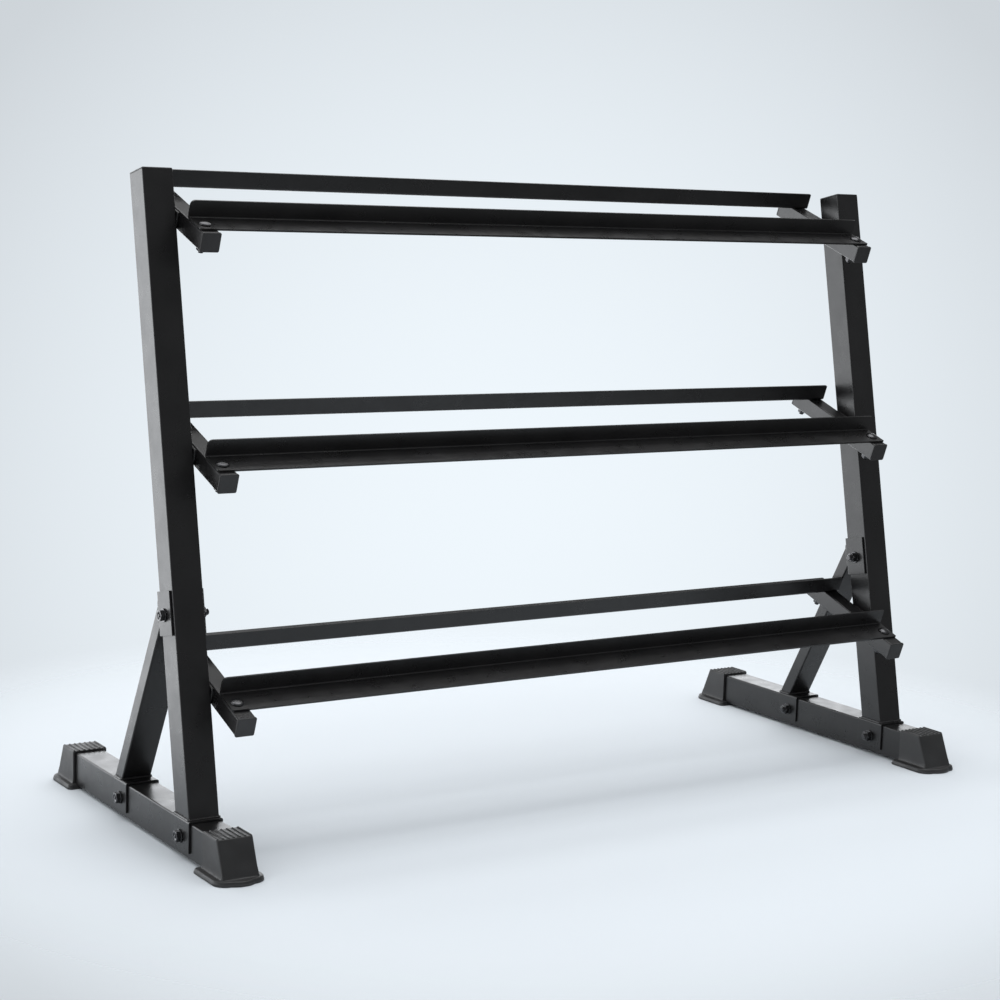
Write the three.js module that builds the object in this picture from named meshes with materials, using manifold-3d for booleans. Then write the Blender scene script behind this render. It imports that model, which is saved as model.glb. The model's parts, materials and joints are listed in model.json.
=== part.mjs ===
// Three-tier dumbbell rack of bolted and welded steel tube.
//
// Two base tubes lie on the floor, front to back, with a moulded foot pushed over each end. An
// upright leans back from each base tube and a brace props it from behind. Every upright carries
// three cantilever arms on its inner side, tilted down towards the front, and on each pair of arms
// lie two steel angles, a front rail and a rear rail, with their standing legs facing each other.
//
// Millimetres. +X runs to the right along the rails, +Y to the back, +Z up. The origin is on the
// floor at the centre of the footprint.

import * as THREE from 'three';
import { mergeVertices } from 'three/addons/utils/BufferGeometryUtils.js';
import Module from 'manifold-3d';

const wasm = await Module();
wasm.setup();

// ---- Driving dimensions ---------------------------------------------------------------------

const GAP = 0.3; // left between pieces that touch

// Overall layout
const OVERALL_WIDTH = 1438; // across the outer faces of the uprights
const LEAN = THREE.MathUtils.degToRad(11.35); // upright, back from the vertical
const SHELF_TILT = THREE.MathUtils.degToRad(19.7); // arms and rails, down to the front
const BRACE_LEAN = THREE.MathUtils.degToRad(27.9); // brace, forward from the vertical

// Square tube of the uprights and the base
const TUBE = 50;
const TUBE_WALL = 2;
const TUBE_RADIUS = 2.5;

// Base tube
const BASE_LENGTH = 600;
const BASE_HEIGHT = 55;
const BASE_BOTTOM = 5; // clearance under the tube
const BASE_TOP = BASE_BOTTOM + BASE_HEIGHT;

// Saddles: U-shaped plates over the base tube, one under each upright and one under each brace
const PLATE = 3;
const SADDLE_SIDE = 46; // how far the cheeks hang down beside the tube
const FRONT_SADDLE = { y: -173.5, length: 62 };
const REAR_SADDLE = { y: 59, length: 50 };
const SADDLE_TOP = BASE_TOP + GAP + PLATE;
const SADDLE_BOLT_HEIGHT = 34.5;

// Upright, measured along its front face from the saddle
const UPRIGHT_Y = -198.6; // front face at the saddle's top
const UPRIGHT_LENGTH = 983.5; // without its cap
const UPRIGHT_CAP = 3;

// Brace and the U bracket that joins it to the upright
const BRACE_DEPTH = 25;
const BRACE_BACK_Y = 87; // back face at the saddle's top
const BRACE_RADIUS = 2.5;
const BRACKET_HEIGHT = 68;
const BRACKET_UP = 311.5; // centre, along the upright
const BRACKET_BOLT_UP = 309;
const BRACKET_FRONT = 6; // front edge of the cheeks behind the upright's front face
const BRACKET_BOLT_DEPTH = 30;

// Arms
const ARM = 30;
const ARM_WALL = 2;
const ARM_RADIUS = 2.5;
const ARM_PAD = 4; // welding pad between an arm and its upright
const ARM_PAD_LENGTH = 52;
const ARM_PAD_HEIGHT = 26;
const ARM_FRONT = 93.5; // tube end in front of the upright's front face
const ARM_REAR = 140; // tube end behind it
const ARM_CAP = 4;
const ARM_CAP_LIP = 0.8; // how far the front caps stand proud of the tube all round

// Push-in caps: plug lengths, and how far the plug stays clear of the tube's inside faces
const UPRIGHT_PLUG = 18;
const ARM_PLUG = 6;
const PLUG_CLEARANCE = 0.9;

// Tiers: height along the upright of the arm's top face, and where the rails lie on the arms
const TIERS = [
  { name: 'bottom', up: 197, frontRail: 25, rearRail: 95 },
  { name: 'middle', up: 559.5, frontRail: 36.5, rearRail: 95 },
  { name: 'top', up: 921.5, frontRail: 36.5, rearRail: 97 },
];

// Rails: unequal steel angle
const RAIL_STANDING_LEG = 30;
const RAIL_LYING_LEG = 50;
const RAIL_THICKNESS = 3;
const RAIL_END_GAP = 4; // from a rail's end to the upright beside it
const RAIL_CORNER = 8; // left end of the front rails' standing leg
const RAIL_SHARP_CORNER = 2.5; // the other ends
const RAIL_BOLT = 31; // bolt centre from the standing leg's back

// Fasteners
const BOLT_RADIUS = 4;
const HOLE_RADIUS = 4.5;
const WASHER_RADIUS = 10;
const WASHER_THICKNESS = 1.8;
const NUT_ACROSS_FLATS = 13;
const NUT_HEIGHT = 8;
const THREAD_END = 2;
const CUP_HEAD_RADIUS = 10.5;
const CUP_HEAD_HEIGHT = 5;

// M10 bolts across the tubes of the side frames.
const FRAME_BOLT_RADIUS = 5;
const FRAME_HOLE_RADIUS = 5.5;
const FRAME_WASHER_RADIUS = 10.5;
const FRAME_WASHER_THICKNESS = 2;
const FRAME_ACROSS_FLATS = 16;
const FRAME_HEAD_HEIGHT = 6.4;
const FRAME_NUT_HEIGHT = 9.5;
const FRAME_THREAD_END = 4;

// Feet: sleeve, floor flange and ribs, measured outwards from the sleeve's mouth
const FOOT_MOUTH = 256; // from the middle of the base tube
const FOOT_WALL = 4.5;
const FOOT_TOP_LENGTH = 49;
const FOOT_BOTTOM_LENGTH = 73;
const FOOT_TOP_WALL = 3;
const FLANGE = { halfWidth: 41, back: -10, front: 80, bulge: 6, height: 8, backRadius: 8, frontRadius: 24 };
const FOOT_RIBS = 7;
const RIB_WIDTH = 3.4;
const RIB_HEIGHT = 1.2;

// ---- Materials ------------------------------------------------------------------------------

const finish = (color, roughness, metalness) => () =>
  new THREE.MeshStandardMaterial({ color, roughness, metalness });
const powderCoat = finish(0x2a2a2c, 0.55, 0.25);
const mouldedPlastic = finish(0x1d1d1f, 0.7, 0);
const footRubber = finish(0x2c2c2e, 0.8, 0);
const blackZinc = finish(0x343437, 0.4, 0.8);

// ---- Solids ---------------------------------------------------------------------------------

const rack = new THREE.Group();
const addPiece = (group, name, geometry, material) => {
  const mesh = new THREE.Mesh(geometry, material());
  mesh.name = name;
  group.add(mesh);
  return mesh;
};

function toSolid(geometry) {
  const bare = geometry.clone();
  bare.deleteAttribute('normal');
  bare.deleteAttribute('uv');
  const merged = mergeVertices(bare, 1e-4);
  return new wasm.Manifold(new wasm.Mesh({
    numProp: 3,
    vertProperties: new Float32Array(merged.attributes.position.array),
    triVerts: new Uint32Array(merged.index.array),
  }));
}

function toGeometry(solid) {
  const mesh = solid.getMesh();
  const geometry = new THREE.BufferGeometry();
  geometry.setAttribute('position', new THREE.BufferAttribute(mesh.vertProperties, 3));
  geometry.setIndex(new THREE.BufferAttribute(mesh.triVerts, 1));
  geometry.computeVertexNormals();
  return geometry;
}

// The first geometry with the others joined to it.
const join = (first, ...others) =>
  toGeometry(others.reduce((solid, other) => solid.add(toSolid(other)), toSolid(first)));

// The first geometry with the others cut out of it.
const cut = (first, ...others) =>
  toGeometry(others.reduce((solid, other) => solid.subtract(toSolid(other)), toSolid(first)));

const box = (x0, x1, y0, y1, z0, z1) =>
  new THREE.BoxGeometry(x1 - x0, y1 - y0, z1 - z0).translate((x0 + x1) / 2, (y0 + y1) / 2, (z0 + z1) / 2);

// A rod along X, centred, used for bolts and for the holes they pass through.
const rodX = (radius, length, sides, y, z) =>
  new THREE.CylinderGeometry(radius, radius, length, sides).rotateZ(Math.PI / 2).translate(0, y, z);

// A rod along Z between two heights.
const rodZ = (radius, z0, z1, sides, x, y) =>
  new THREE.CylinderGeometry(radius, radius, z1 - z0, sides)
    .rotateX(Math.PI / 2)
    .translate(x, y, (z0 + z1) / 2);

const hexRadius = (acrossFlats) => acrossFlats / Math.sqrt(3);

function roundedRectangle(path, width, height, radius) {
  const x = width / 2 - radius;
  const y = height / 2 - radius;
  path.moveTo(x + radius, -y);
  path.absarc(x, y, radius, 0, Math.PI / 2, false);
  path.absarc(-x, y, radius, Math.PI / 2, Math.PI, false);
  path.absarc(-x, -y, radius, Math.PI, 1.5 * Math.PI, false);
  path.absarc(x, -y, radius, 1.5 * Math.PI, 2 * Math.PI, false);
  return path;
}

const extrude = (shape, depth, curveSegments = 2) =>
  new THREE.ExtrudeGeometry(shape, { depth, curveSegments, bevelEnabled: false });

// A hollow rectangular tube standing on z = 0.
function tube(width, height, wall, radius, length) {
  const section = roundedRectangle(new THREE.Shape(), width, height, radius);
  const bore = roundedRectangle(new THREE.Path(), width - 2 * wall, height - 2 * wall, radius - wall);
  section.holes.push(bore);
  return extrude(section, length);
}

// A push-in end cap on z = 0: a plug hanging into the tube and a head with bevelled edges.
function endCap(size, wall, headHeight, plugLength, lip = 0) {
  const half = size / 2 + lip;
  const plug = size / 2 - wall - PLUG_CLEARANCE;
  const rim = headHeight * 0.5;
  const bevel = new THREE.CylinderGeometry(
    (half - (headHeight - rim)) * Math.SQRT2, half * Math.SQRT2, headHeight - rim, 4,
  ).rotateY(Math.PI / 4).rotateX(Math.PI / 2).translate(0, 0, (rim + headHeight) / 2);
  return join(
    box(-half, half, -half, half, GAP, rim),
    bevel,
    box(-plug, plug, -plug, plug, -plugLength, rim / 2 + GAP),
  );
}

// Everything below a level of the standing frame, as a cutter in a turned group's own frame.
function floorCutter(level, group) {
  const reach = 400;
  group.updateMatrix();
  return box(-reach, reach, -reach, reach, -reach, level - group.position.z)
    .applyMatrix4(new THREE.Matrix4().makeRotationX(-group.rotation.x));
}

// A group turned about X at a place in the rack's side view.
function turnedGroup(parent, y, z, angle) {
  const group = new THREE.Group();
  group.position.set(0, y, z);
  group.rotation.x = angle;
  parent.add(group);
  return group;
}

// ---- Fasteners ------------------------------------------------------------------------------

// A bolt across a clamped stack of the given half width, along X: hex head and washer outside,
// washer, nut and thread end inside. side is -1 on the left of the rack and +1 on the right.
function crossBolt(side, halfWidth, y, z) {
  const seat = halfWidth + GAP;
  const washerFace = seat + FRAME_WASHER_THICKNESS;
  const nutFace = washerFace + FRAME_NUT_HEIGHT;
  const overlap = 0.5;
  const inward = (radius, from, to, sides) =>
    rodX(radius, to - from, sides, y, z).translate(-side * (from + to) / 2, 0, 0);
  return join(
    inward(FRAME_BOLT_RADIUS, -washerFace - overlap, nutFace + FRAME_THREAD_END, 12),
    inward(FRAME_WASHER_RADIUS, -washerFace, -seat, 16),
    inward(FRAME_WASHER_RADIUS, seat, washerFace, 16),
    inward(hexRadius(FRAME_ACROSS_FLATS), -washerFace - FRAME_HEAD_HEIGHT, -washerFace + overlap, 6),
    inward(hexRadius(FRAME_ACROSS_FLATS), washerFace - overlap, nutFace, 6),
  );
}

// A cup-head bolt along Z through a rail's lying leg and the arm below it, with washer and nut.
function railBolt(x, y) {
  const seat = RAIL_THICKNESS + 2 * GAP;
  const under = -ARM - GAP;
  const washerFace = under - WASHER_THICKNESS;
  const nutFace = washerFace - NUT_HEIGHT;
  const overlap = 0.5;
  const dome = [new THREE.Vector2(0, seat)];
  const domeSteps = 4;
  for (let i = 0; i <= domeSteps; i += 1) {
    const angle = (i / domeSteps) * (Math.PI / 2);
    const radius = i === domeSteps ? 0 : CUP_HEAD_RADIUS * Math.cos(angle);
    dome.push(new THREE.Vector2(radius, seat + CUP_HEAD_HEIGHT * Math.sin(angle)));
  }
  const head = new THREE.LatheGeometry(dome, 16).rotateX(Math.PI / 2).translate(x, y, 0);
  return join(
    rodZ(BOLT_RADIUS, nutFace - THREAD_END, seat + overlap, 12, x, y),
    head,
    rodZ(WASHER_RADIUS, washerFace, under, 16, x, y),
    rodZ(hexRadius(NUT_ACROSS_FLATS), nutFace, washerFace + overlap, 6, x, y),
  );
}

// ---- Base -----------------------------------------------------------------------------------

function baseTube() {
  const middle = BASE_BOTTOM + BASE_HEIGHT / 2;
  const body = tube(TUBE, BASE_HEIGHT, TUBE_WALL, TUBE_RADIUS, BASE_LENGTH)
    .rotateX(Math.PI / 2)
    .translate(0, BASE_LENGTH / 2, middle);
  const holes = [FRONT_SADDLE, REAR_SADDLE].map((saddle) =>
    rodX(FRAME_HOLE_RADIUS, TUBE + 10, 12, saddle.y, SADDLE_BOLT_HEIGHT));
  return cut(body, ...holes);
}

function saddle({ y, length }) {
  const inner = TUBE / 2 + GAP;
  const outer = inner + PLATE;
  const bottom = SADDLE_TOP - PLATE - SADDLE_SIDE;
  const shell = box(-outer, outer, y - length / 2, y + length / 2, bottom, SADDLE_TOP);
  const hollow = box(-inner, inner, y - length, y + length, bottom - 1, SADDLE_TOP - PLATE);
  return cut(shell, hollow, rodX(FRAME_HOLE_RADIUS, 2 * outer + 10, 12, y, SADDLE_BOLT_HEIGHT));
}

function flangeOutline() {
  const { halfWidth: w, back, front, bulge, backRadius: r, frontRadius: f } = FLANGE;
  const outline = new THREE.Shape();
  outline.moveTo(w, back + r);
  outline.lineTo(w, front - f);
  outline.quadraticCurveTo(w, front, w - f, front);
  outline.quadraticCurveTo(0, front + 2 * bulge, f - w, front);
  outline.quadraticCurveTo(-w, front, -w, front - f);
  outline.lineTo(-w, back + r);
  outline.quadraticCurveTo(-w, back, r - w, back);
  outline.lineTo(w - r, back);
  outline.quadraticCurveTo(w, back, w, back + r);
  return outline;
}

// A foot in its own frame: mouth of the sleeve at y = 0, outwards along +Y, floor at z = 0.
function foot() {
  const halfWidth = TUBE / 2 + FOOT_WALL;
  const top = BASE_TOP + FOOT_TOP_WALL;
  const low = FLANGE.height - 2;
  const side = new THREE.Shape([
    new THREE.Vector2(0, low),
    new THREE.Vector2(FOOT_BOTTOM_LENGTH, low),
    new THREE.Vector2(FOOT_TOP_LENGTH, top),
    new THREE.Vector2(0, top),
  ]);
  const body = extrude(side, 2 * halfWidth)
    .rotateX(Math.PI / 2)
    .rotateZ(Math.PI / 2)
    .translate(-halfWidth, 0, 0);
  const flange = extrude(flangeOutline(), FLANGE.height, 4);
  const pitch = (2 * halfWidth - RIB_WIDTH) / (FOOT_RIBS - 1);
  const ribs = Array.from({ length: FOOT_RIBS }, (_, i) => {
    const x = -halfWidth + i * pitch;
    return box(x, x + RIB_WIDTH, 0.5, FOOT_TOP_LENGTH - 1, top - 1, top + RIB_HEIGHT);
  });
  const inner = TUBE / 2 + GAP;
  const end = BASE_LENGTH / 2 - FOOT_MOUTH + GAP;
  const socket = box(-inner, inner, -40, end, BASE_BOTTOM - GAP, BASE_TOP + GAP);
  return cut(join(body, flange, ...ribs), socket);
}

// ---- Uprights, braces and brackets ----------------------------------------------------------

function upright(group) {
  const centre = TUBE / 2;
  const below = 30;
  const body = tube(TUBE, TUBE, TUBE_WALL, TUBE_RADIUS, UPRIGHT_LENGTH + below).translate(0, centre, -below);
  const hole = rodX(FRAME_HOLE_RADIUS, TUBE + 10, 12, BRACKET_BOLT_DEPTH, BRACKET_BOLT_UP);
  return cut(body, floorCutter(SADDLE_TOP + GAP, group), hole);
}

function bracket() {
  const inner = TUBE / 2 + GAP;
  const outer = inner + PLATE;
  const z0 = BRACKET_UP - BRACKET_HEIGHT / 2;
  const z1 = z0 + BRACKET_HEIGHT;
  const shell = box(-outer, outer, BRACKET_FRONT, TUBE + GAP + PLATE, z0, z1);
  const hollow = box(-inner, inner, BRACKET_FRONT - 10, TUBE + GAP, z0 - 10, z1 + 10);
  return cut(shell, hollow, rodX(FRAME_HOLE_RADIUS, 2 * outer + 10, 12, BRACKET_BOLT_DEPTH, BRACKET_BOLT_UP));
}

// The brace's tube, cut level at the saddle and along the bracket's back at its top.
function brace(group) {
  const below = 30;
  const length = 330;
  const body = tube(TUBE, BRACE_DEPTH, TUBE_WALL, BRACE_RADIUS, length + below)
    .translate(0, -BRACE_DEPTH / 2, -below);
  const reach = 400;
  const bracketBack = TUBE + 2 * GAP + PLATE;
  const turn = new THREE.Matrix4().makeRotationX(-BRACE_LEAN - LEAN);
  const uprightFoot = new THREE.Vector3(0, UPRIGHT_Y - group.position.y, SADDLE_TOP - group.position.z)
    .applyMatrix4(new THREE.Matrix4().makeRotationX(-BRACE_LEAN));
  const bracketCutter = box(-reach, reach, -reach, bracketBack, -reach, 3 * reach)
    .applyMatrix4(turn)
    .translate(0, uprightFoot.y, uprightFoot.z);
  return cut(body, floorCutter(SADDLE_TOP + GAP, group), bracketCutter);
}

// ---- Arms and rails -------------------------------------------------------------------------

// In a shelf's frame y = 0 is the upright's front face, +Y runs back along the arms and z = 0 is
// their top face. side is -1 on the left of the rack and +1 on the right.
const armX = (side) => side * (OVERALL_WIDTH / 2 - TUBE - ARM_PAD - ARM / 2);
const frontBoltY = (tier) => -(tier.frontRail + RAIL_BOLT);
const rearBoltY = (tier) => tier.rearRail + RAIL_BOLT;

function arm(side, tier) {
  const x = armX(side);
  const body = tube(ARM, ARM, ARM_WALL, ARM_RADIUS, ARM_FRONT + ARM_REAR)
    .rotateX(Math.PI / 2)
    .translate(x, ARM_REAR, -ARM / 2);
  const padInner = x + side * (ARM / 2 - 1);
  const padOuter = x + side * (ARM / 2 + ARM_PAD - GAP);
  const padMiddle = 20;
  const pad = box(
    Math.min(padInner, padOuter), Math.max(padInner, padOuter),
    padMiddle - ARM_PAD_LENGTH / 2, padMiddle + ARM_PAD_LENGTH / 2,
    -(ARM + ARM_PAD_HEIGHT) / 2, -(ARM - ARM_PAD_HEIGHT) / 2,
  );
  const holes = [frontBoltY(tier), rearBoltY(tier)].map((y) =>
    rodZ(HOLE_RADIUS, -ARM - 5, 5, 12, x, y));
  return cut(join(body, pad), ...holes);
}

// A rail whose standing leg faces `facing`: -1 lies towards the front, +1 towards the back.
function rail(tier, facing) {
  const half = OVERALL_WIDTH / 2 - TUBE - RAIL_END_GAP;
  const left = facing < 0 ? RAIL_CORNER : RAIL_SHARP_CORNER;
  const right = RAIL_SHARP_CORNER;
  const standing = new THREE.Shape();
  standing.moveTo(-half, 0);
  standing.lineTo(half, 0);
  standing.absarc(half - right, RAIL_STANDING_LEG - right, right, 0, Math.PI / 2, false);
  standing.absarc(left - half, RAIL_STANDING_LEG - left, left, Math.PI / 2, Math.PI, false);
  const backFace = facing < 0 ? -tier.frontRail : tier.rearRail;
  const upLeg = extrude(standing, RAIL_THICKNESS, 4)
    .rotateX(Math.PI / 2)
    .translate(0, facing < 0 ? backFace : backFace + RAIL_THICKNESS, GAP);
  const far = backFace + facing * RAIL_LYING_LEG;
  const flatLeg = box(-half, half, Math.min(backFace, far), Math.max(backFace, far), GAP, GAP + RAIL_THICKNESS);
  const y = facing < 0 ? frontBoltY(tier) : rearBoltY(tier);
  const holes = [-1, 1].map((side) => rodZ(HOLE_RADIUS, -5, 15, 12, armX(side), y));
  return cut(join(upLeg, flatLeg), ...holes);
}

// ---- Assembly -------------------------------------------------------------------------------

for (const [side, sideName] of [[-1, 'left'], [1, 'right']]) {
  const frame = new THREE.Group();
  frame.position.x = side * (OVERALL_WIDTH - TUBE) / 2;
  rack.add(frame);

  addPiece(frame, `${sideName}_base_tube`, baseTube(), powderCoat);
  for (const [name, turn] of [['front', Math.PI], ['rear', 0]]) {
    const piece = addPiece(frame, `${sideName}_${name}_foot`, foot(), footRubber);
    piece.rotation.z = turn;
    piece.position.y = FOOT_MOUTH * Math.cos(turn);
  }
  for (const [name, place] of [['front', FRONT_SADDLE], ['rear', REAR_SADDLE]]) {
    addPiece(frame, `${sideName}_${name}_saddle`, saddle(place), powderCoat);
    const halfWidth = TUBE / 2 + GAP + PLATE;
    const bolt = crossBolt(side, halfWidth, place.y, SADDLE_BOLT_HEIGHT);
    addPiece(frame, `${sideName}_${name}_saddle_bolt`, bolt, blackZinc);
  }

  const leaning = turnedGroup(frame, UPRIGHT_Y, SADDLE_TOP, -LEAN);
  addPiece(leaning, `${sideName}_upright`, upright(leaning), powderCoat);
  const cap = endCap(TUBE, TUBE_WALL, UPRIGHT_CAP, UPRIGHT_PLUG);
  addPiece(leaning, `${sideName}_upright_cap`, cap, mouldedPlastic).position.set(0, TUBE / 2, UPRIGHT_LENGTH);
  addPiece(leaning, `${sideName}_brace_bracket`, bracket(), powderCoat);
  const bracketBolt = crossBolt(side, TUBE / 2 + GAP + PLATE, BRACKET_BOLT_DEPTH, BRACKET_BOLT_UP);
  addPiece(leaning, `${sideName}_brace_bracket_bolt`, bracketBolt, blackZinc);

  const propping = turnedGroup(frame, BRACE_BACK_Y, SADDLE_TOP, BRACE_LEAN);
  addPiece(propping, `${sideName}_brace`, brace(propping), powderCoat);
}

for (const tier of TIERS) {
  const y = UPRIGHT_Y + tier.up * Math.sin(LEAN);
  const z = SADDLE_TOP + tier.up * Math.cos(LEAN);
  const shelf = turnedGroup(rack, y, z, SHELF_TILT);
  for (const [side, sideName] of [[-1, 'left'], [1, 'right']]) {
    const name = `${sideName}_${tier.name}_arm`;
    addPiece(shelf, name, arm(side, tier), powderCoat);
    for (const [end, endY, turn, lip] of [['front', -ARM_FRONT, 1, ARM_CAP_LIP], ['rear', ARM_REAR, -1, 0]]) {
      const plugCap = endCap(ARM, ARM_WALL, ARM_CAP, ARM_PLUG, lip);
      const cap = addPiece(shelf, `${name}_${end}_cap`, plugCap, mouldedPlastic);
      cap.rotation.x = turn * Math.PI / 2;
      cap.position.set(armX(side), endY, -ARM / 2);
    }
  }
  for (const [name, facing, boltY] of [['front', -1, frontBoltY(tier)], ['rear', 1, rearBoltY(tier)]]) {
    addPiece(shelf, `${tier.name}_${name}_rail`, rail(tier, facing), powderCoat);
    for (const [side, sideName] of [[-1, 'left'], [1, 'right']]) {
      const bolt = railBolt(armX(side), boltY);
      addPiece(shelf, `${tier.name}_${name}_rail_${sideName}_bolt`, bolt, blackZinc);
    }
  }
}

export default rack;
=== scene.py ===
import json
import math

import bmesh
import bpy
from mathutils import Matrix, Vector, noise

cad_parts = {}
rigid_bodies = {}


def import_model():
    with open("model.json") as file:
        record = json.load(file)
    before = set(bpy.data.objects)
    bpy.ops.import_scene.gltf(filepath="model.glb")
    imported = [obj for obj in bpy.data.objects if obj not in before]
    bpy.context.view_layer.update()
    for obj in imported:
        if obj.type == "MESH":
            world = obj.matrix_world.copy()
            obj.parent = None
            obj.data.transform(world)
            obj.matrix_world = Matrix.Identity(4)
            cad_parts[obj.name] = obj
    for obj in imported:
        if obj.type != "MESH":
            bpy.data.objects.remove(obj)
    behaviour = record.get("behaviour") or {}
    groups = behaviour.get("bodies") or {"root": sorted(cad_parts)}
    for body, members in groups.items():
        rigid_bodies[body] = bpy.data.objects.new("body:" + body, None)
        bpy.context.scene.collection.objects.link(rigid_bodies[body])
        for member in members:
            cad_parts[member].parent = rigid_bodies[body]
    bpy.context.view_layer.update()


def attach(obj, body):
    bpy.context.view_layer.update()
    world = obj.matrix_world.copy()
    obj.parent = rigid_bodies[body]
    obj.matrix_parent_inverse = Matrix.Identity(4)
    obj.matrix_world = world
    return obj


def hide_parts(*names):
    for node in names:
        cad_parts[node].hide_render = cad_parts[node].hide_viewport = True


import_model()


# ---------------------------------------------------------------- layout of the rack, in metres
LEAN = math.radians(11.35)
TILT = math.radians(19.7)
BRACE_LEAN = math.radians(27.9)
GAP = 0.0003

WIDTH = 1.438
TUBE = 0.050
BASE_LENGTH, BASE_BOTTOM, BASE_TOP = 0.600, 0.005, 0.060
PLATE = 0.003
SADDLE_TOP = BASE_TOP + GAP + PLATE
SADDLE_SIDE = 0.046
SADDLES = {"front": (-0.1735, 0.062), "rear": (0.059, 0.050)}
SADDLE_BOLT_Z = 0.0345
FRAME_WASHER, RAIL_WASHER = 0.0105, 0.010
UPRIGHT_Y, UPRIGHT_LENGTH, UPRIGHT_CAP = -0.1986, 0.9835, 0.003
BRACE_DEPTH, BRACE_BACK_Y = 0.025, 0.087
BRACKET_UP, BRACKET_HEIGHT, BRACKET_FRONT = 0.3115, 0.068, 0.006
BRACKET_BOLT_DEPTH, BRACKET_BOLT_UP = 0.030, 0.309
ARM, ARM_PAD, ARM_FRONT, ARM_REAR, ARM_CAP, ARM_CAP_LIP = 0.030, 0.004, 0.0935, 0.140, 0.004, 0.0008
TIERS = {"bottom": (0.197, 0.025, 0.095), "middle": (0.5595, 0.0365, 0.095), "top": (0.9215, 0.0365, 0.097)}
RAIL_STANDING, RAIL_LYING, RAIL_PLATE, RAIL_BOLT = 0.030, 0.050, 0.003, 0.031
RAIL_HALF = WIDTH / 2 - TUBE - 0.004
FOOT_MOUTH, FOOT_WALL, FOOT_TOP = 0.256, 0.0045, 0.063
UPRIGHT_CORNER, TUBE_CORNER = 0.0022, 0.0024
BEND = 0.0034
SIDES = (("left", -1), ("right", 1))

X, Y, Z = Vector((1, 0, 0)), Vector((0, 1, 0)), Vector((0, 0, 1))
UP = Vector((0, math.sin(LEAN), math.cos(LEAN)))
DEPTH = Vector((0, math.cos(LEAN), -math.sin(LEAN)))


def placed(origin, x, y, z):
    """A frame at an origin with the given axes."""
    return Matrix.Translation(origin) @ Matrix((x, y, z)).transposed().to_4x4()


def side_x(side):
    """Middle of a side frame, across the rack."""
    return side * (WIDTH - TUBE) / 2


def leaning_frame(side):
    """Frame of an upright: X, depth behind its front face, distance up it."""
    return placed(Vector((side_x(side), UPRIGHT_Y, SADDLE_TOP)), X, DEPTH, UP)


def shelf_frame(tier):
    """Frame of a tilted shelf, on the upper faces of its arms, where the upright's front face is y = 0."""
    up = TIERS[tier][0]
    origin = Vector((0, UPRIGHT_Y + up * math.sin(LEAN), SADDLE_TOP + up * math.cos(LEAN)))
    return Matrix.Translation(origin) @ Matrix.Rotation(TILT, 4, "X")


def brace_frame(side):
    """Frame of a brace, Z up along its rear face."""
    origin = Vector((side_x(side), BRACE_BACK_Y, SADDLE_TOP))
    return Matrix.Translation(origin) @ Matrix.Rotation(BRACE_LEAN, 4, "X")


# ---------------------------------------------------------------- materials


def principled(name, color, roughness, metallic=0.0, specular=0.5):
    material = bpy.data.materials.new(name)
    material.use_nodes = True
    tree = material.node_tree
    shader = tree.nodes["Principled BSDF"]
    shader.inputs["Base Color"].default_value = (*color, 1)
    shader.inputs["Roughness"].default_value = roughness
    shader.inputs["Metallic"].default_value = metallic
    shader.inputs["Specular IOR Level"].default_value = specular
    return material, tree, shader


def noise_node(tree, coordinates, scale, detail=2.0):
    node = tree.nodes.new("ShaderNodeTexNoise")
    node.inputs["Scale"].default_value = scale
    node.inputs["Detail"].default_value = detail
    tree.links.new(coordinates, node.inputs["Vector"])
    return node.outputs["Fac"]


def ramp(tree, factor, low, high, start=0.35, end=0.65):
    node = tree.nodes.new("ShaderNodeMapRange")
    node.inputs["From Min"].default_value = start
    node.inputs["From Max"].default_value = end
    node.inputs["To Min"].default_value = low
    node.inputs["To Max"].default_value = high
    tree.links.new(factor, node.inputs["Value"])
    return node.outputs["Result"]


def color_ramp(tree, factor, low, high, start=0.35, end=0.65):
    node = tree.nodes.new("ShaderNodeValToRGB")
    node.color_ramp.elements[0].position = start
    node.color_ramp.elements[1].position = end
    node.color_ramp.elements[0].color = (*low, 1)
    node.color_ramp.elements[1].color = (*high, 1)
    tree.links.new(factor, node.inputs["Fac"])
    return node.outputs["Color"]


def bump(tree, shader, height, strength, distance, before=None):
    node = tree.nodes.new("ShaderNodeBump")
    node.inputs["Strength"].default_value = strength
    node.inputs["Distance"].default_value = distance
    tree.links.new(height, node.inputs["Height"])
    if before is not None:
        tree.links.new(before, node.inputs["Normal"])
    tree.links.new(node.outputs["Normal"], shader.inputs["Normal"])
    return node.outputs["Normal"]


def textured(name, low, high, rough, grain, grain_depth, peel=None, metallic=0.0, specular=0.5):
    """A finish with a fine grain, a broader uneven gloss and faint changes of tone."""
    material, tree, shader = principled(name, low, rough[0], metallic, specular)
    place = tree.nodes.new("ShaderNodeTexCoord").outputs["Object"]
    tone = noise_node(tree, place, 14, 5)
    tree.links.new(color_ramp(tree, tone, low, high), shader.inputs["Base Color"])
    gloss = noise_node(tree, place, 38, 4)
    tree.links.new(ramp(tree, gloss, rough[0], rough[1]), shader.inputs["Roughness"])
    fine = noise_node(tree, place, grain, 2)
    before = None
    if peel:
        before = bump(tree, shader, noise_node(tree, place, peel[0], 1), 0.5, peel[1])
    bump(tree, shader, fine, 0.6, grain_depth, before)
    return material


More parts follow.
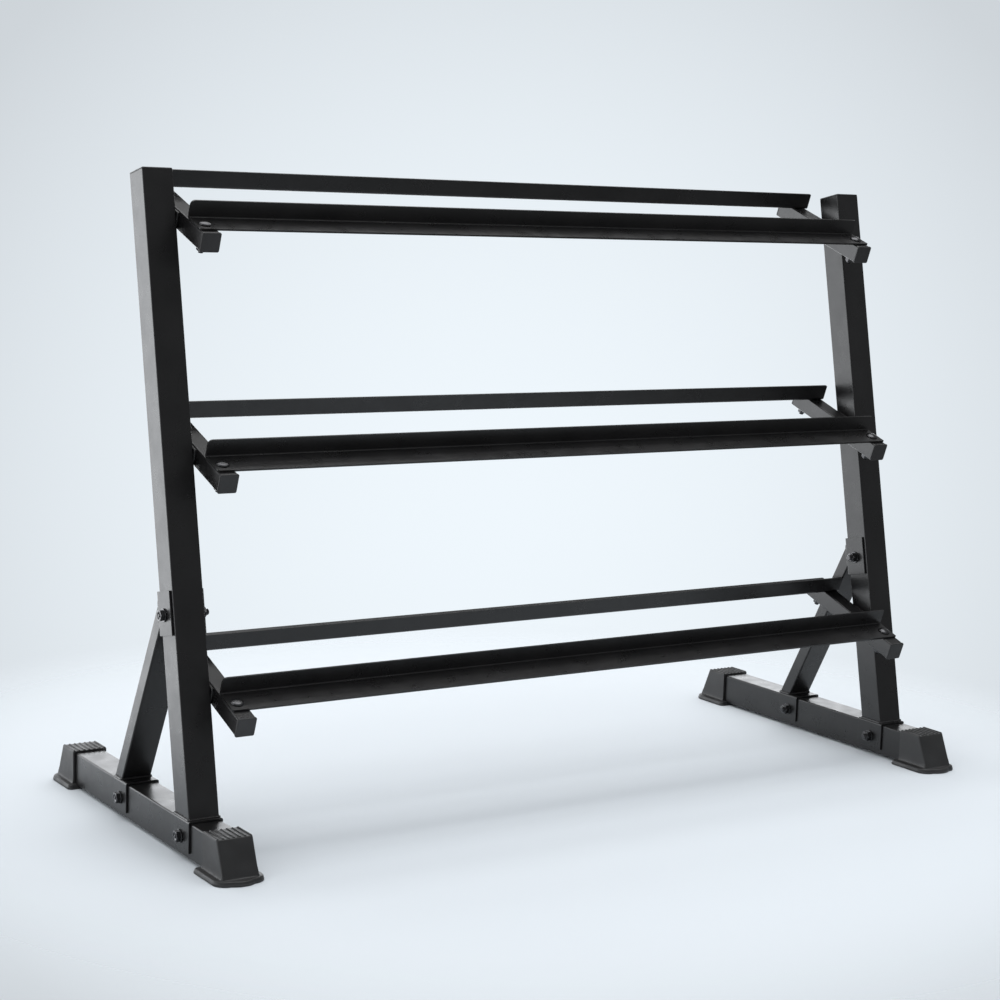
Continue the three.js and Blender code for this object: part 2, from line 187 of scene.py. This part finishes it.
COAT = textured("powder_coat", (0.0068, 0.0066, 0.0068), (0.0096, 0.0093, 0.0095), (0.27, 0.34), 1400,
                0.00005, peel=(420, 0.00005), specular=0.45)
CAP = textured("moulded_cap", (0.012, 0.012, 0.0125), (0.019, 0.019, 0.020), (0.46, 0.56), 2200, 0.00004,
               specular=0.45)
RUBBER = textured("moulded_foot", (0.013, 0.0128, 0.013), (0.021, 0.0208, 0.021), (0.42, 0.52), 1800, 0.00006,
                  peel=(260, 0.00006), specular=0.45)
ZINC = textured("black_zinc", (0.045, 0.045, 0.047), (0.085, 0.085, 0.088), (0.14, 0.24), 1500, 0.00003,
                metallic=0.85)

# ---------------------------------------------------------------- mesh building


def piece(node, bm, material, bevel=0.0, sharp=38):
    """Makes the shown object for a CAD node out of a bmesh that is already in the rack's frame."""
    bmesh.ops.recalc_face_normals(bm, faces=bm.faces)
    mesh = bpy.data.meshes.new(node + "_skin")
    bm.to_mesh(mesh)
    bm.free()
    mesh.shade_smooth()
    mesh.materials.append(material)
    made = bpy.data.objects.new(node + "_skin", mesh)
    bpy.context.scene.collection.objects.link(made)
    if bevel:
        edge = made.modifiers.new("rounded_edges", "BEVEL")
        edge.width = bevel
        edge.segments = 3
        edge.limit_method = "ANGLE"
        edge.angle_limit = math.radians(sharp)
    else:
        mesh.set_sharp_from_angle(angle=math.radians(sharp))
    normals = made.modifiers.new("flat_faces", "WEIGHTED_NORMAL")
    normals.keep_sharp = True
    normals.weight = 100
    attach(made, "root")
    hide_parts(node)


def arc(center, radius, start, end, steps):
    """Points along an arc between two angles in degrees."""
    turn = [math.radians(start + (end - start) * i / steps) for i in range(steps + 1)]
    return [(center[0] + radius * math.cos(t), center[1] + radius * math.sin(t)) for t in turn]


def rounded(width, height, radius, steps=6, inset=0.0):
    """Outline of a rounded rectangle about the origin, drawn in by an inset."""
    x, y = width / 2 - radius, height / 2 - radius
    r = max(radius - inset, 0.0001)
    outline = []
    for i, center in enumerate(((x, y), (-x, y), (-x, -y), (x, -y))):
        outline += arc(center, r, 90 * i, 90 * (i + 1), steps)
    return outline


def loft(bm, rings):
    """Skins a stack of rings, each a list of points, and closes both ends."""
    loops = [[bm.verts.new(p) for p in ring] for ring in rings]
    count = len(loops[0])
    for low, high in zip(loops, loops[1:]):
        for i in range(count):
            bm.faces.new((low[i], low[(i + 1) % count], high[(i + 1) % count], high[i]))
    bm.faces.new(loops[0][::-1])
    bm.faces.new(loops[-1])


def prism(bm, frame_matrix, outline, start, end):
    """A bar along the frame's Z between two heights, each a number or a function of (x, y)."""
    rings = []
    for limit in (start, end):
        ring = []
        for x, y in outline:
            z = limit(x, y) if callable(limit) else limit
            ring.append(frame_matrix @ Vector((x, y, z)))
        rings.append(ring)
    loft(bm, rings)


def lathe(bm, frame_matrix, profile, radius_at=None, sides=40):
    """Turns a profile of (radius, height) about the frame's Z. radius_at may reshape a ring by its angle."""
    rings = []
    for radius, height in profile:
        ring = []
        for i in range(sides):
            angle = 2 * math.pi * i / sides
            r, h = radius_at(radius, height, angle) if radius_at else (radius, height)
            ring.append(frame_matrix @ Vector((r * math.cos(angle), r * math.sin(angle), h)))
        rings.append(ring)
    loft(bm, rings)


def washer(bm, where, z, thick, radius):
    edge = 0.0004
    bottom = [(radius - edge, z), (radius, z + edge)]
    top = [(radius, z + thick - edge), (radius - edge, z + thick)]
    lathe(bm, where, bottom + top)


def hexagon(bm, where, z, height, flats, chamfer_low=True, dish=()):
    """A hexagonal nut or head with turned corners, and a dish turned into its end."""
    half = flats / 2
    cone = half * 0.97

    def shape(radius, level, angle):
        side = half / math.cos((angle + math.pi / 6) % (math.pi / 3) - math.pi / 6)
        r = min(side, radius) if radius < half else side
        fall = max(r - cone, 0) * 0.55
        if level == "high":
            return r, z + height - fall
        if level == "low":
            return r, z + (fall if chamfer_low else 0)
        return r, z + level

    lathe(bm, where, [(cone, 0), (half, "low"), (half, "high"), (cone, height), *dish], shape, 48)


def thread(bm, where, radius, low, high, pitch=0.00125):
    """The threaded end of a bolt, as a stack of grooves with a pointed tip."""
    profile = []
    z = low
    while z < high - pitch:
        profile += [(radius, z), (radius, z + pitch * 0.2), (radius * 0.88, z + pitch * 0.55)]
        z += pitch
    profile += [(radius, z), (radius * 0.82, high)]
    lathe(bm, where, profile, None, 24)


def lock_nut(bm, where, z, radius, flats, wrench, height, tip):
    """Hexagon with a round collar holding the locking ring, and the thread end standing out of it."""
    collar = flats / 2 * 0.90
    hexagon(bm, where, z, wrench, flats)
    lathe(bm, where, [(collar, z + wrench - 0.0004), (collar, z + height - 0.0010),
                      (collar - 0.0009, z + height), (radius + 0.0004, z + height)])
    thread(bm, where, radius, z, z + tip)


def bead(bm, path, radius, pitch=0.0034):
    """A welded seam along a closed path of points: overlapping ripples, slightly uneven."""
    points = []
    for a, b in zip(path, path[1:] + path[:1]):
        steps = max(1, round((b - a).length / (pitch / 5)))
        points += [a.lerp(b, i / steps) for i in range(steps)]
    rings, travelled = [], 0.0
    center = sum(points, Vector()) / len(points)
    for i, point in enumerate(points):
        ahead, behind = points[(i + 1) % len(points)], points[i - 1]
        along = (ahead - behind).normalized()
        travelled += (point - behind).length
        phase = (travelled / pitch) % 1
        uneven = 1 + 0.14 * noise.noise(point * 140)
        r = radius * uneven * (0.86 + 0.14 * math.sqrt(max(0.0, 1 - (2 * phase - 1) ** 2)))
        outward = (point - center).normalized()
        side = along.cross(outward).normalized()
        outward = side.cross(along).normalized()
        rings.append([point + r * (math.cos(t) * outward + math.sin(t) * side)
                      for t in (2 * math.pi * k / 9 for k in range(9))])
    loops = [[bm.verts.new(p) for p in ring] for ring in rings]
    for low, high in zip(loops, loops[1:] + loops[:1]):
        for k in range(9):
            bm.faces.new((low[k], low[(k + 1) % 9], high[(k + 1) % 9], high[k]))


def channel(outer, inner, depth, radius):
    """Section of a U plate: web along the top at y = 0, cheeks down to y = -depth."""
    r_in = max(radius - PLATE, 0.0006)
    section = [(-outer, -depth)]
    section += arc((-outer + radius, -radius), radius, 180, 90, 5)
    section += arc((outer - radius, -radius), radius, 90, 0, 5)
    section += [(outer, -depth), (inner, -depth)]
    section += arc((inner - r_in, -PLATE - r_in), r_in, 0, 90, 3)
    section += arc((-inner + r_in, -PLATE - r_in), r_in, 90, 180, 3)
    section += [(-inner, -depth)]
    return section


# ---------------------------------------------------------------- frames at the two ends


def base_tube(side_name, side):
    where = placed(Vector((side_x(side), 0, (BASE_BOTTOM + BASE_TOP) / 2)), X, Z, -Y)
    bm = bmesh.new()
    outline = rounded(TUBE, BASE_TOP - BASE_BOTTOM, TUBE_CORNER)
    prism(bm, where, outline, -BASE_LENGTH / 2, BASE_LENGTH / 2)
    piece(f"{side_name}_base_tube", bm, COAT)


def saddles(side_name, side):
    inner = TUBE / 2 + GAP
    section = channel(inner + PLATE, inner, SADDLE_SIDE + PLATE, BEND)
    for name, (y, length) in SADDLES.items():
        where = placed(Vector((side_x(side), y, SADDLE_TOP)), X, Z, -Y)
        bm = bmesh.new()
        prism(bm, where, section, -length / 2, length / 2)
        piece(f"{side_name}_{name}_saddle", bm, COAT, bevel=0.0004)
        cross_bolt(f"{side_name}_{name}_saddle_bolt", side, Vector((side_x(side), y, SADDLE_BOLT_Z)), Z)


def cross_bolt(node, side, center, up):
    """Through bolt along X: hexagon head on the outer side, lock nut and thread end on the inner side."""
    seat = TUBE / 2 + 2 * GAP + PLATE
    thick, head, flats = 0.0020, 0.0064, 0.016
    bm = bmesh.new()
    outer = turned(center, X * side, up)
    inner = turned(center, -X * side, up)
    dish = [(0.0062, head), (0.0056, head - 0.0008), (0.0030, head - 0.0016),
            (0.0025, head - 0.0002), (0.0019, head + 0.0002), (0.0004, head + 0.0003)]
    washer(bm, outer, seat, thick, FRAME_WASHER)
    hexagon(bm, outer, seat + thick, head, flats, False, dish)
    washer(bm, inner, seat, thick, FRAME_WASHER)
    lock_nut(bm, inner, seat + thick, 0.005, flats, 0.0076, 0.0095, 0.0135)
    piece(node, bm, ZINC)


def turned(center, z, up):
    """A frame whose Z is z and whose X is near up."""
    x = (up - z * up.dot(z)).normalized()
    return placed(center, x, z.cross(x), z)


def perimeter(where, outline, level):
    """An outline's points in a frame, at one level or at a level worked out from each point."""
    return [where @ Vector((x, y, level(x, y) if callable(level) else level)) for x, y in outline]


def upright(side_name, side):
    where = leaning_frame(side)
    shift = Matrix.Translation((0, TUBE / 2, 0))

    def foot(x, y):
        return (GAP + (y + TUBE / 2) * math.sin(LEAN)) / math.cos(LEAN)

    bm = bmesh.new()
    prism(bm, where @ shift, rounded(TUBE, TUBE, UPRIGHT_CORNER), foot, UPRIGHT_LENGTH)
    bead(bm, perimeter(where @ shift, rounded(TUBE + 0.001, TUBE + 0.001, 0.003, 3), foot), 0.0022)
    piece(f"{side_name}_upright", bm, COAT)
    bm = bmesh.new()
    top = where @ shift @ Matrix.Translation((0, 0, UPRIGHT_LENGTH))
    cap_head(bm, top, TUBE, 0.0026, UPRIGHT_CAP, 0.0016)
    piece(f"{side_name}_upright_cap", bm, CAP)


def cap_head(bm, where, size, corner, height, edge, lip=0.0):
    """Head of a push-in cap with rounded rims, on the frame's z = 0."""
    plug = size - 0.0062
    size += 2 * lip
    rings = [rounded(size, size, corner, 6, 0.0003), rounded(size, size, corner)]
    levels = [GAP, GAP + 0.0004]
    for i in range(5):
        angle = math.pi / 2 * i / 4
        rings.append(rounded(size, size, corner, 6, edge * (1 - math.cos(angle))))
        levels.append(height - edge + edge * math.sin(angle))
    loft(bm, [[where @ Vector((x, y, z)) for x, y in ring] for ring, z in zip(rings, levels)])
    prism(bm, where, rounded(plug, plug, 0.0015, 2), -0.006, 0.0008)


def bracket(side_name, side):
    where = leaning_frame(side)
    inner = TUBE / 2 + GAP
    web = TUBE + GAP + PLATE
    bm = bmesh.new()
    section = [(x, y + web) for x, y in channel(inner + PLATE, inner, web - BRACKET_FRONT, BEND)]
    prism(bm, where, section, BRACKET_UP - BRACKET_HEIGHT / 2, BRACKET_UP + BRACKET_HEIGHT / 2)
    piece(f"{side_name}_brace_bracket", bm, COAT, bevel=0.0004)
    center = where @ Vector((0, BRACKET_BOLT_DEPTH, BRACKET_BOLT_UP))
    cross_bolt(f"{side_name}_brace_bracket_bolt", side, center, UP)


def brace(side_name, side):
    where = brace_frame(side)
    shift = Matrix.Translation((0, -BRACE_DEPTH / 2, 0))
    axis = where.to_3x3() @ Z
    back = leaning_frame(side).translation + DEPTH * (TUBE + 2 * GAP + PLATE)

    def foot(x, y):
        p = where @ shift @ Vector((x, y, 0))
        return (SADDLE_TOP + GAP - p.z) / axis.z

    def top(x, y):
        p = where @ shift @ Vector((x, y, 0))
        return (back - p).dot(DEPTH) / axis.dot(DEPTH)

    bm = bmesh.new()
    prism(bm, where @ shift, rounded(TUBE, BRACE_DEPTH, TUBE_CORNER), foot, top)
    ring = rounded(TUBE + 0.001, BRACE_DEPTH + 0.001, 0.003, 3)
    bead(bm, perimeter(where @ shift, ring, foot), 0.0022)
    bead(bm, perimeter(where @ shift, ring, top), 0.0020)
    piece(f"{side_name}_brace", bm, COAT)


# ---------------------------------------------------------------- feet


def foot_outline(half, back, front, bulge, corner, back_corner):
    """Plan outline of a foot at one level, mouth at y = 0 and the nose towards +y."""
    points = arc((half - back_corner, back + back_corner), back_corner, -90, 0, 4)
    points += arc((half - corner, front - corner), corner, 0, 90, 8)
    points = points[:-1]
    steps = 14
    for i in range(steps + 1):
        t = i / steps
        x = (half - corner) * (1 - 2 * t)
        points.append((x, front + bulge * (1 - (2 * t - 1) ** 2)))
    points += arc((-half + corner, front - corner), corner, 90, 180, 8)[1:]
    points += arc((-half + back_corner, back + back_corner), back_corner, 180, 270, 4)
    return points


def plain_mesh(name, bm):
    """A mesh out of a bmesh, its faces turned outwards."""
    bmesh.ops.recalc_face_normals(bm, faces=bm.faces)
    mesh = bpy.data.meshes.new(name)
    bm.to_mesh(mesh)
    bm.free()
    return mesh


def foot_body():
    """The moulded shape, lofted from the lip at the floor up to the top."""
    half = TUBE / 2 + FOOT_WALL
    nose = 0.0488  # length of the top
    slope = 0.024 / 0.056  # how fast the nose runs forward on the way down
    skirt = 0.0150  # where the plain body begins above the flange
    # height, half width, back, front, bulge of the front, front corner, back corner
    levels = [
        (0.0000, 0.0402, -0.0092, 0.0792, 0.0056, 0.021, 0.006),
        (0.0008, 0.0410, -0.0100, 0.0800, 0.0060, 0.022, 0.007),
        (0.0034, 0.0410, -0.0100, 0.0800, 0.0060, 0.022, 0.007),
        (0.0040, 0.0403, -0.0093, 0.0793, 0.0058, 0.0215, 0.007),
        (0.0066, 0.0399, -0.0089, 0.0789, 0.0056, 0.021, 0.007),
        (0.0076, 0.0390, -0.0080, 0.0780, 0.0053, 0.020, 0.006),
        (0.0080, 0.0376, -0.0066, 0.0766, 0.0047, 0.018, 0.006),
        (0.0083, 0.0330, -0.0020, 0.0735, 0.0012, 0.011, 0.003),
        (0.0087, 0.0314, -0.0006, 0.0724, 0.0003, 0.007, 0.0012),
        (0.0100, 0.0304, 0.0000, 0.0714, 0.0, 0.0045, 0.0008),
        (skirt, 0.0297, 0.0000, nose + slope * (FOOT_TOP - skirt), 0.0, 0.0034, 0.0008),
    ]
    steps = 6
    for i in range(1, steps + 1):
        z = skirt + (FOOT_TOP - 0.0015 - skirt) * i / steps
        levels.append((z, half, 0.0, nose + slope * (FOOT_TOP - z), 0.0, 0.0042, 0.0008))
    for drop, inset in ((0.0007, 0.0003), (0.0002, 0.0008), (0.0, 0.0015)):
        z = FOOT_TOP - drop
        levels.append((z, half - inset, inset * 0.4, nose + slope * drop - inset, 0.0, 0.0038, 0.0006))
    bm = bmesh.new()
    loft(bm, [[Vector((x, y, z)) for x, y in foot_outline(*rest)] for z, *rest in levels])
    return plain_mesh("foot_body", bm)


def foot_hollow():
    """The space that the end of the base tube takes up in a foot, with a little play."""
    play = 0.0006
    end = BASE_LENGTH / 2 - FOOT_MOUTH + GAP
    where = placed(Vector((0, 0, (BASE_BOTTOM + BASE_TOP) / 2)), X, Z, -Y)
    outline = rounded(TUBE + 2 * play, BASE_TOP - BASE_BOTTOM + 2 * play, 0.0042)
    bm = bmesh.new()
    prism(bm, where, outline, -end, 0.040)
    return plain_mesh("foot_hollow", bm)


def foot_mesh():
    """One moulded foot with its socket, mouth at y = 0 and nose towards +y."""
    scene = bpy.context.scene.collection.objects
    first = bpy.data.objects.new("foot_first", foot_body())
    second = bpy.data.objects.new("foot_second", foot_hollow())
    scene.link(first)
    scene.link(second)
    cut = first.modifiers.new("socket", "BOOLEAN")
    cut.operation = "DIFFERENCE"
    cut.object = second
    cut.solver = "EXACT"
    bpy.context.view_layer.update()
    result = bpy.data.meshes.new_from_object(first.evaluated_get(bpy.context.evaluated_depsgraph_get()))
    bpy.data.objects.remove(first)
    bpy.data.objects.remove(second)
    return result


def add_ribs(bm):
    """Rounded grip ribs on the top of a foot, running from the mouth to the nose."""
    half = TUBE / 2 + FOOT_WALL
    count, width, height, margin = 7, 0.0037, 0.0016, 0.0008
    sunk, root = FOOT_TOP - 0.0004, FOOT_TOP - 0.0010
    stations = ((0.0008, 0.35), (0.0014, 0.8), (0.0024, 1.0), (0.0455, 1.0), (0.0465, 0.8), (0.0472, 0.35))
    for i in range(count):
        x = -half + width / 2 + margin + (2 * half - width - 2 * margin) * i / (count - 1)
        rings = []
        for y, scale in stations:
            ring = [Vector((x + px * width / 2, y, sunk + (pz * height + 0.0004) * scale))
                    for px, pz in arc((0, 0), 1, 0, 180, 8)]
            ring += [Vector((x - width / 2, y, root)), Vector((x + width / 2, y, root))]
            rings.append(ring)
        loft(bm, rings)


FOOT = foot_mesh()


def feet(side_name, side):
    for end, turn in (("front", math.pi), ("rear", 0.0)):
        bm = bmesh.new()
        bm.from_mesh(FOOT)
        add_ribs(bm)
        mouth = Vector((side_x(side), FOOT_MOUTH * math.cos(turn), 0))
        bm.transform(Matrix.Translation(mouth) @ Matrix.Rotation(turn, 4, "Z"))
        piece(f"{side_name}_{end}_foot", bm, RUBBER, sharp=50)


# ---------------------------------------------------------------- arms and rails


def arm_x(side):
    return side * (WIDTH / 2 - TUBE - ARM_PAD - ARM / 2)


def arm(tier, side_name, side):
    """Arm tube with the pad that holds it off the upright, the weld round the pad and both end caps."""
    shelf = shelf_frame(tier)
    bm = bmesh.new()
    along = shelf @ placed(Vector((arm_x(side), 0, -ARM / 2)), X, Z, -Y)
    prism(bm, along, rounded(ARM, ARM, TUBE_CORNER), -ARM_REAR, ARM_FRONT)
    length, height, middle = 0.052, 0.026, 0.020
    reach = ARM_PAD - GAP
    across = shelf @ placed(Vector((arm_x(side) + side * ARM / 2, middle, -ARM / 2)), Y, Z, X)
    low, high = sorted((-0.001 * side, reach * side))
    prism(bm, across, rounded(length, height, 0.002, 3), low, high)
    seam = rounded(length + 0.001, height - 0.001, 0.003, 3)
    bead(bm, perimeter(across, seam, side * (reach - 0.0013)), 0.0016)
    piece(f"{side_name}_{tier}_arm", bm, COAT)
    ends = (("front", -ARM_FRONT, math.pi / 2, ARM_CAP_LIP), ("rear", ARM_REAR, -math.pi / 2, 0))
    for end, y, turn, lip in ends:
        bm = bmesh.new()
        where = shelf @ Matrix.Translation((arm_x(side), y, -ARM / 2)) @ Matrix.Rotation(turn, 4, "X")
        cap_head(bm, where, ARM, 0.0030, ARM_CAP, 0.0014, lip)
        piece(f"{side_name}_{tier}_arm_{end}_cap", bm, CAP)


def rail_section():
    """Section of the angle: p from the standing leg's back along the lying leg, q up the standing leg."""
    outer, inner = 0.0050, 0.0020
    section = arc((outer, outer), outer, 270, 180, 6)
    section += [(0, RAIL_STANDING), (RAIL_PLATE, RAIL_STANDING)]
    section += arc((RAIL_PLATE + inner, RAIL_PLATE + inner), inner, 180, 270, 5)
    section += [(RAIL_LYING, RAIL_PLATE), (RAIL_LYING, 0)]
    return section


def rail_stations(left, right, steps=8):
    """Cuts along a rail, close together where the corners of its ends are rounded off."""
    turns = [math.pi / 2 * i / steps for i in range(steps + 1)]
    stations = [(-RAIL_HALF, left, turn) for turn in turns]
    stations += [(RAIL_HALF, right, turn) for turn in reversed(turns)]
    return stations


def rail(tier, end, facing):
    """Bent steel angle with rounded end corners, and its two bolts."""
    _, front, rear = TIERS[tier]
    back = -front if facing < 0 else rear
    shelf = shelf_frame(tier)
    sharp = (0.0025, 0.0025)  # corner radius of the standing leg and of the lying leg
    left = (0.008, 0.006) if facing < 0 else sharp
    near = 1e-6
    rings = []
    for x_end, (r_up, r_out), turn in rail_stations(left, sharp):
        ring = []
        for p, q in rail_section():
            radius = max(r_up, r_out)
            if q >= RAIL_STANDING - near:
                radius = r_up
                q -= r_up * (1 - math.sin(turn))
            elif p >= RAIL_LYING - near:
                radius = r_out
                p -= r_out * (1 - math.sin(turn))
            x = x_end + math.copysign(radius * (1 - math.cos(turn)), -x_end)
            ring.append(shelf @ Vector((x, back + facing * p, GAP + q)))
        rings.append(ring)
    bm = bmesh.new()
    loft(bm, rings)
    piece(f"{tier}_{end}_rail", bm, COAT, bevel=0.0006)
    for side_name, side in SIDES:
        y = back + facing * RAIL_BOLT
        rail_bolt(f"{tier}_{end}_rail_{side_name}_bolt", shelf @ Matrix.Translation((arm_x(side), y, 0)))


def rail_bolt(node, where):
    """Cup-head bolt down through the rail and the arm, with washer and lock nut below."""
    seat = RAIL_PLATE + 2 * GAP
    radius, height = 0.0105, 0.0045
    bm = bmesh.new()
    rim, edge, steps = 0.0008, 0.0003, 8
    profile = [(radius - edge, seat), (radius, seat + edge), (radius, seat + rim)]
    for i in range(1, steps):
        t = math.pi / 2 * i / steps
        profile.append((radius * math.cos(t), seat + rim + (height - rim) * math.sin(t)))
    profile.append((0.0006, seat + height))
    lathe(bm, where, profile, None, 48)
    below = where @ Matrix.Translation((0, 0, -ARM - GAP)) @ Matrix.Rotation(math.pi, 4, "X")
    thick = 0.0018
    washer(bm, below, 0, thick, RAIL_WASHER)
    lock_nut(bm, below, thick, 0.004, 0.013, 0.0064, 0.0080, 0.0100)
    piece(node, bm, ZINC)


for side_name, side in SIDES:
    base_tube(side_name, side)
    saddles(side_name, side)
    feet(side_name, side)
    upright(side_name, side)
    bracket(side_name, side)
    brace(side_name, side)
for tier in TIERS:
    for side_name, side in SIDES:
        arm(tier, side_name, side)
    rail(tier, "front", -1)
    rail(tier, "rear", 1)

# ---------------------------------------------------------------- stage, light and camera


def area(name, place, aim, size, power):
    light = bpy.data.lights.new(name, "AREA")
    light.shape = "RECTANGLE"
    light.size, light.size_y = size
    light.energy = power
    holder = bpy.data.objects.new(name, light)
    bpy.context.scene.collection.objects.link(holder)
    holder.location = place
    holder.rotation_euler = (Vector(aim) - Vector(place)).to_track_quat("-Z", "Y").to_euler()
    holder.visible_camera = False


def smooth(tree, value, low, high, start=0.0, end=1.0):
    node = tree.nodes.new("ShaderNodeMapRange")
    node.interpolation_type = "SMOOTHSTEP"
    for name, number in (("From Min", low), ("From Max", high), ("To Min", start), ("To Max", end)):
        node.inputs[name].default_value = number
    tree.links.new(value, node.inputs["Value"])
    return node.outputs["Result"]


def combine(tree, kind, first, second):
    node = tree.nodes.new("ShaderNodeMath")
    node.operation = kind
    for slot, value in zip(node.inputs, (first, second)):
        if isinstance(value, (int, float)):
            slot.default_value = value
        else:
            tree.links.new(value, slot)
    return node.outputs["Value"]


def toward(tree, direction, aim):
    """How nearly a direction points at an aim, 1 when it does."""
    node = tree.nodes.new("ShaderNodeVectorMath")
    node.operation = "DOT_PRODUCT"
    tree.links.new(direction, node.inputs[0])
    node.inputs[1].default_value = Vector(aim).normalized()
    return node.outputs["Value"]


# Radiance of each part of the room round the rack.
WALL, PANEL, STRIP, ROOM, CEILING, FILL = 2.95, 3.4, 1.8, 0.22, 1.6, 0.98
FILL_SHARE = 0.95
DAYLIGHT = (0.965, 0.99, 1.02, 1)
# The backdrop the camera sees is painted: a painted pool of light, brightest along the main camera's view,
# with painted shade darkening towards the corners of that view.
BACKDROP_PAINTED_LIGHT_AIM = (0.538, 0.832, -0.137)
BACKDROP_PAINTED_SHADE_EDGE = (0.617, 0.658, 0.694)
BACKDROP_PAINTED_LIGHT_MIDDLE = (0.863, 0.930, 0.982)
BACKDROP_FAR = (0.78, 0.84, 0.89, 1)


def glow(tree, direction, aim, edge, full, strength):
    """A soft-edged bright area of the room round an aim."""
    return combine(tree, "MULTIPLY", smooth(tree, toward(tree, direction, aim), edge, full), strength)


def background(tree, color):
    node = tree.nodes.new("ShaderNodeBackground")
    node.inputs["Color"].default_value = color
    return node


def mixed(tree, factor, first, second):
    node = tree.nodes.new("ShaderNodeMixShader")
    for slot, value in zip(node.inputs, (factor, first, second)):
        tree.links.new(value, slot)
    return node.outputs["Shader"]


def room_light(tree, direction):
    """A dim room in front, a lit wall behind, a bright panel back left, a strip left and a soft ceiling."""
    height = toward(tree, direction, (0, 0, 1))
    low = smooth(tree, height, 0.32, 0.52, 1.0, 0.0)
    wall = glow(tree, direction, (0.12, 0.99, 0), 0.70, 0.80, WALL)
    panel = glow(tree, direction, (-0.75, 0.66, 0.04), 0.93, 0.985, PANEL)
    strip = glow(tree, direction, (-0.99, 0.0, 0.1), 0.90, 0.97, STRIP)
    sides = combine(tree, "ADD", combine(tree, "ADD", wall, panel), strip)
    around = combine(tree, "MULTIPLY", sides, low)
    ceiling = smooth(tree, height, 0.74, 0.97, ROOM, CEILING)
    lit = background(tree, DAYLIGHT)
    tree.links.new(combine(tree, "ADD", around, ceiling), lit.inputs["Strength"])
    return lit


def studio_walls():
    """The room's light for reflections, an even fill for soft shadows and a pale backdrop to look at, with a
    painted pool of light in the middle of the main view and painted shade towards its corners.
    """
    world = bpy.data.worlds.new("studio")
    world.use_nodes = True
    tree = world.node_tree
    tree.nodes.remove(tree.nodes["Background"])
    direction = tree.nodes.new("ShaderNodeTexCoord").outputs["Generated"]
    lit = room_light(tree, direction)
    fill = background(tree, DAYLIGHT)
    fill.inputs["Strength"].default_value = FILL
    backdrop = background(tree, BACKDROP_FAR)
    # Painted pool of light and painted shade on the backdrop, set by how near a direction is to the main
    # camera's view.
    aimed = toward(tree, direction, BACKDROP_PAINTED_LIGHT_AIM)
    seen = color_ramp(tree, aimed, BACKDROP_PAINTED_SHADE_EDGE, BACKDROP_PAINTED_LIGHT_MIDDLE, 0.9517, 1.0)
    seen.node.color_ramp.elements.new(0.80).color = BACKDROP_FAR
    tree.links.new(seen, backdrop.inputs["Color"])
    path = tree.nodes.new("ShaderNodeLightPath")
    share = combine(tree, "MULTIPLY", path.outputs["Is Diffuse Ray"], FILL_SHARE)
    soft = mixed(tree, share, lit.outputs["Background"], fill.outputs["Background"])
    shown = mixed(tree, path.outputs["Is Camera Ray"], soft, backdrop.outputs["Background"])
    tree.links.new(shown, tree.nodes["World Output"].inputs["Surface"])
    bpy.context.scene.world = world


def floor_paper():
    """Pale paper that fades into the backdrop away from the rack."""
    material, tree, shader = principled("floor_paper", (0.61, 0.645, 0.675), 0.95, 0, 0.2)
    reach = tree.nodes.new("ShaderNodeVectorMath")
    reach.operation = "LENGTH"
    tree.links.new(tree.nodes.new("ShaderNodeTexCoord").outputs["Object"], reach.inputs[0])
    fade = smooth(tree, reach.outputs["Value"], 0.72, 1.4)
    clear = tree.nodes.new("ShaderNodeBsdfTransparent")
    seen = mixed(tree, fade, shader.outputs["BSDF"], clear.outputs["BSDF"])
    tree.links.new(seen, tree.nodes["Material Output"].inputs["Surface"])
    return material


def studio():
    bpy.ops.mesh.primitive_circle_add(vertices=128, radius=9, fill_type="NGON", location=(0, 0, 0))
    floor = bpy.context.object
    floor.name = "studio_floor"
    floor.data.materials.append(floor_paper())
    studio_walls()
    area("top_softbox", (0.2, 0.55, 3.2), (0, 0.2, 0), (4.0, 3.0), 70)
    bpy.context.scene.view_settings.view_transform = "Standard"


def camera():
    """Standing in front of the rack's left end and looking slightly down."""
    yaw, pitch, roll = math.radians(32.91), math.radians(7.87), math.radians(-1.77)
    forward = Vector((math.sin(yaw) * math.cos(pitch), math.cos(yaw) * math.cos(pitch), -math.sin(pitch)))
    level = Vector((math.cos(yaw), -math.sin(yaw), 0))
    down = forward.cross(level)
    right = level * math.cos(roll) + down * math.sin(roll)
    low = down * math.cos(roll) - level * math.sin(roll)
    data = bpy.data.cameras.new("camera")
    data.lens = 75.84
    data.sensor_width = 36
    holder = bpy.data.objects.new("camera", data)
    bpy.context.scene.collection.objects.link(holder)
    turn = Matrix((right, -low, -forward)).transposed().to_4x4()
    holder.matrix_world = Matrix.Translation((-1.9987, -3.0034, 0.9836)) @ turn
    bpy.context.scene.camera = holder


studio()
camera()
